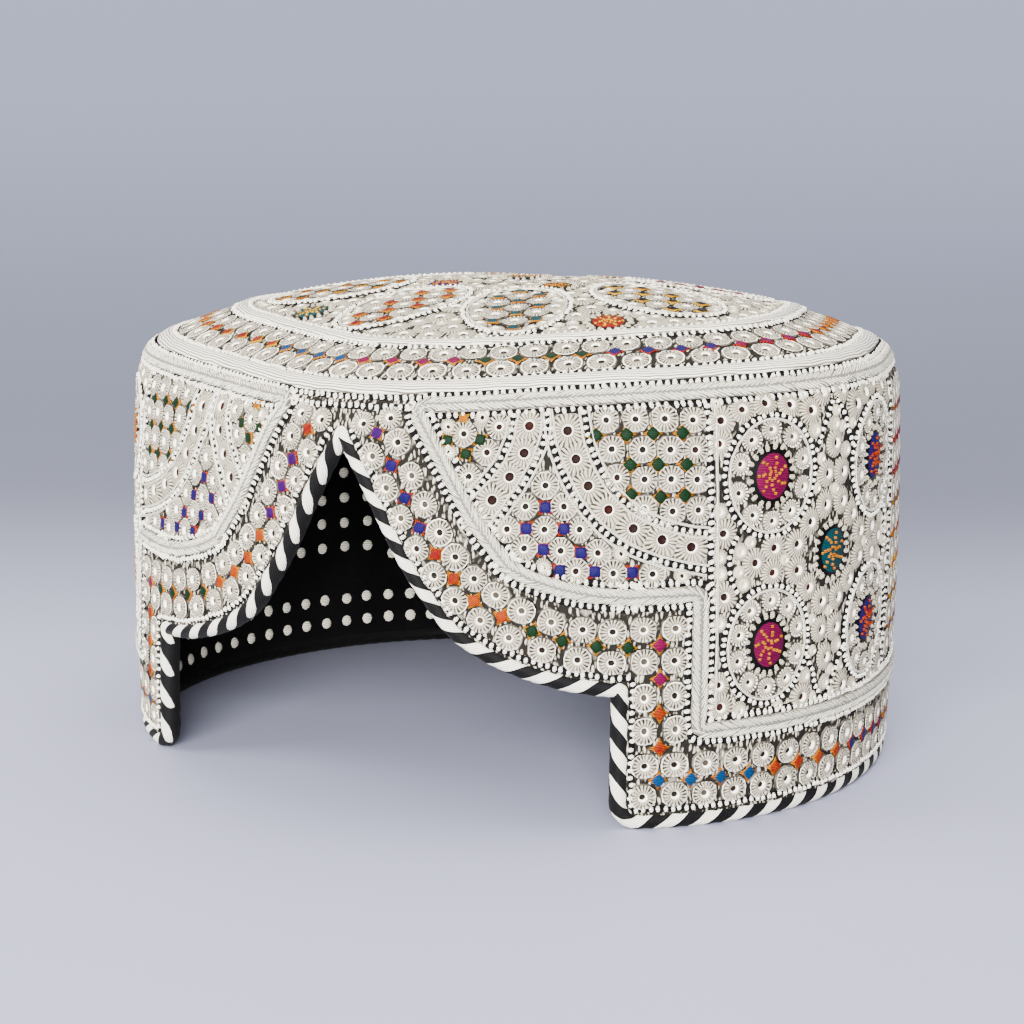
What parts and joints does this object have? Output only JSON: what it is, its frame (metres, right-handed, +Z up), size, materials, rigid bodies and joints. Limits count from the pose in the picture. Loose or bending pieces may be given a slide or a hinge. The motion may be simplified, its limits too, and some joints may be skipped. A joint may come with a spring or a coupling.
{
  "type": "sindhi cap",
  "caption": "Round stiff embroidered cap with a low domed crown, an arch cut out of the front, a striped rope edge, a herringbone braid frame and a black lining.",
  "frame": {"origin": "on the surface the cap stands on, under the middle of its box", "axes": "+Z up through the crown, the arch faces -Y, +X to the right of someone who looks at the arch"},
  "size_m": [0.1994, 0.1861, 0.1151],
  "materials": {
    "embroidered_cloth": "dense off-white thread embroidery over black cloth",
    "lining": "matte black cotton",
    "striped_rope": "wrapped black and white threads",
    "white_thread": "glossy white silk thread"
  },
  "bodies": {
    "root": {"side_band": "embroidered_cloth", "crown": "embroidered_cloth", "side_lining": "lining", "crown_lining": "lining", "edge_binding": "striped_rope", "frame_braid": "white_thread", "rim_cord": "white_thread", "crown_cord": "white_thread"}
  },
  "joints": []
}
